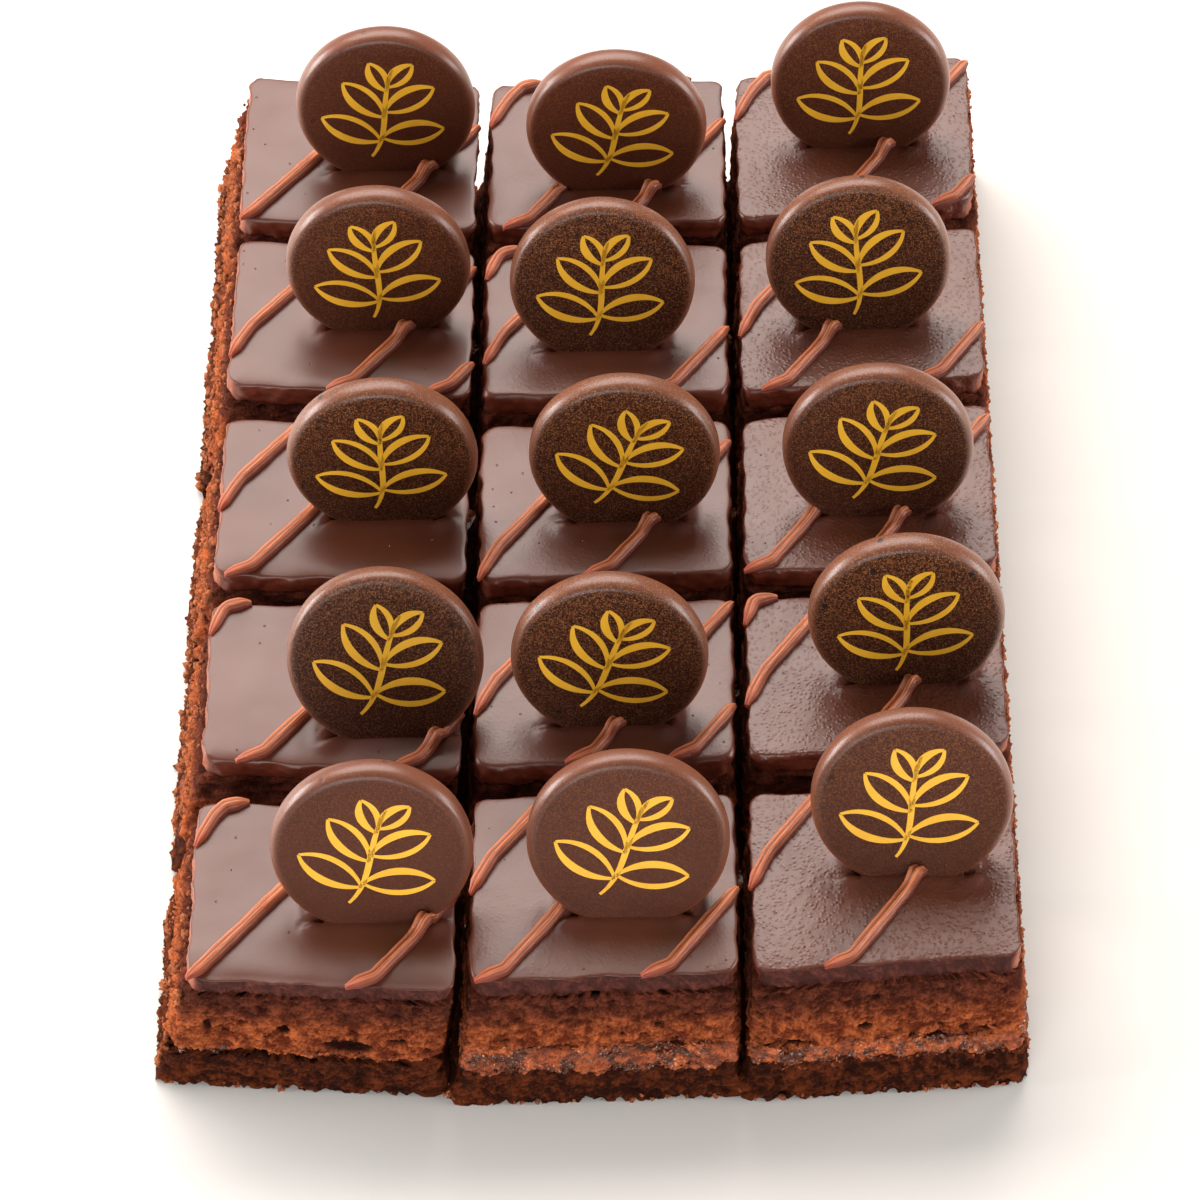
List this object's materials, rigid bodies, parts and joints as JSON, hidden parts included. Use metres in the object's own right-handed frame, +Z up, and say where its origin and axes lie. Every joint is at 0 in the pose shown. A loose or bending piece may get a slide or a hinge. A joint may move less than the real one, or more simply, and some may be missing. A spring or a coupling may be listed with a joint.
{
  "type": "chocolate sheet cake cut into squares",
  "caption": "Rectangular chocolate sheet cake cut into squares that lie together, with jam, glaze, piped drizzle and an upright chocolate disc on each square.",
  "frame": {"origin": "middle of the flat base, on the surface the cake stands on", "axes": "+Z up, +Y to the back row along the long side, +X to the right"},
  "size_m": [0.1322, 0.1984, 0.0549],
  "materials": {
    "sponge": "open crumb, dry and matte",
    "sponge_lower": "darker, denser crumb, matte",
    "jam": "wet, glossy amber jam",
    "glaze": "satin chocolate glaze",
    "disc": "moulded chocolate, satin, with a fine golden dust",
    "drizzle": "piped lighter chocolate, ridged",
    "print": "thin golden yellow print"
  },
  "bodies": {
    "root": {"sponge_r1c1": "sponge", "glaze_r1c1": "glaze", "disc_r1c1": "disc", "sponge_r1c2": "sponge", "glaze_r1c2": "glaze", "disc_r1c2": "disc", "sponge_r1c3": "sponge", "glaze_r1c3": "glaze", "disc_r1c3": "disc", "sponge_r2c1": "sponge", "glaze_r2c1": "glaze", "disc_r2c1": "disc", "sponge_r2c2": "sponge", "glaze_r2c2": "glaze", "disc_r2c2": "disc", "sponge_r2c3": "sponge", "glaze_r2c3": "glaze", "disc_r2c3": "disc", "sponge_r3c1": "sponge", "glaze_r3c1": "glaze", "disc_r3c1": "disc", "sponge_r3c2": "sponge", "glaze_r3c2": "glaze", "disc_r3c2": "disc", "sponge_r3c3": "sponge", "glaze_r3c3": "glaze", "disc_r3c3": "disc", "sponge_r4c1": "sponge", "glaze_r4c1": "glaze", "disc_r4c1": "disc", "sponge_r4c2": "sponge", "glaze_r4c2": "glaze", "disc_r4c2": "disc", "sponge_r4c3": "sponge", "glaze_r4c3": "glaze", "disc_r4c3": "disc", "sponge_lower_r5c1": "sponge_lower", "jam_r5c1": "jam", "sponge_upper_r5c1": "sponge", "glaze_r5c1": "glaze", "disc_r5c1": "disc", "sponge_lower_r5c2": "sponge_lower", "jam_r5c2": "jam", "sponge_upper_r5c2": "sponge", "glaze_r5c2": "glaze", "disc_r5c2": "disc", "sponge_lower_r5c3": "sponge_lower", "jam_r5c3": "jam", "sponge_upper_r5c3": "sponge", "glaze_r5c3": "glaze", "disc_r5c3": "disc"}
  },
  "joints": []
}
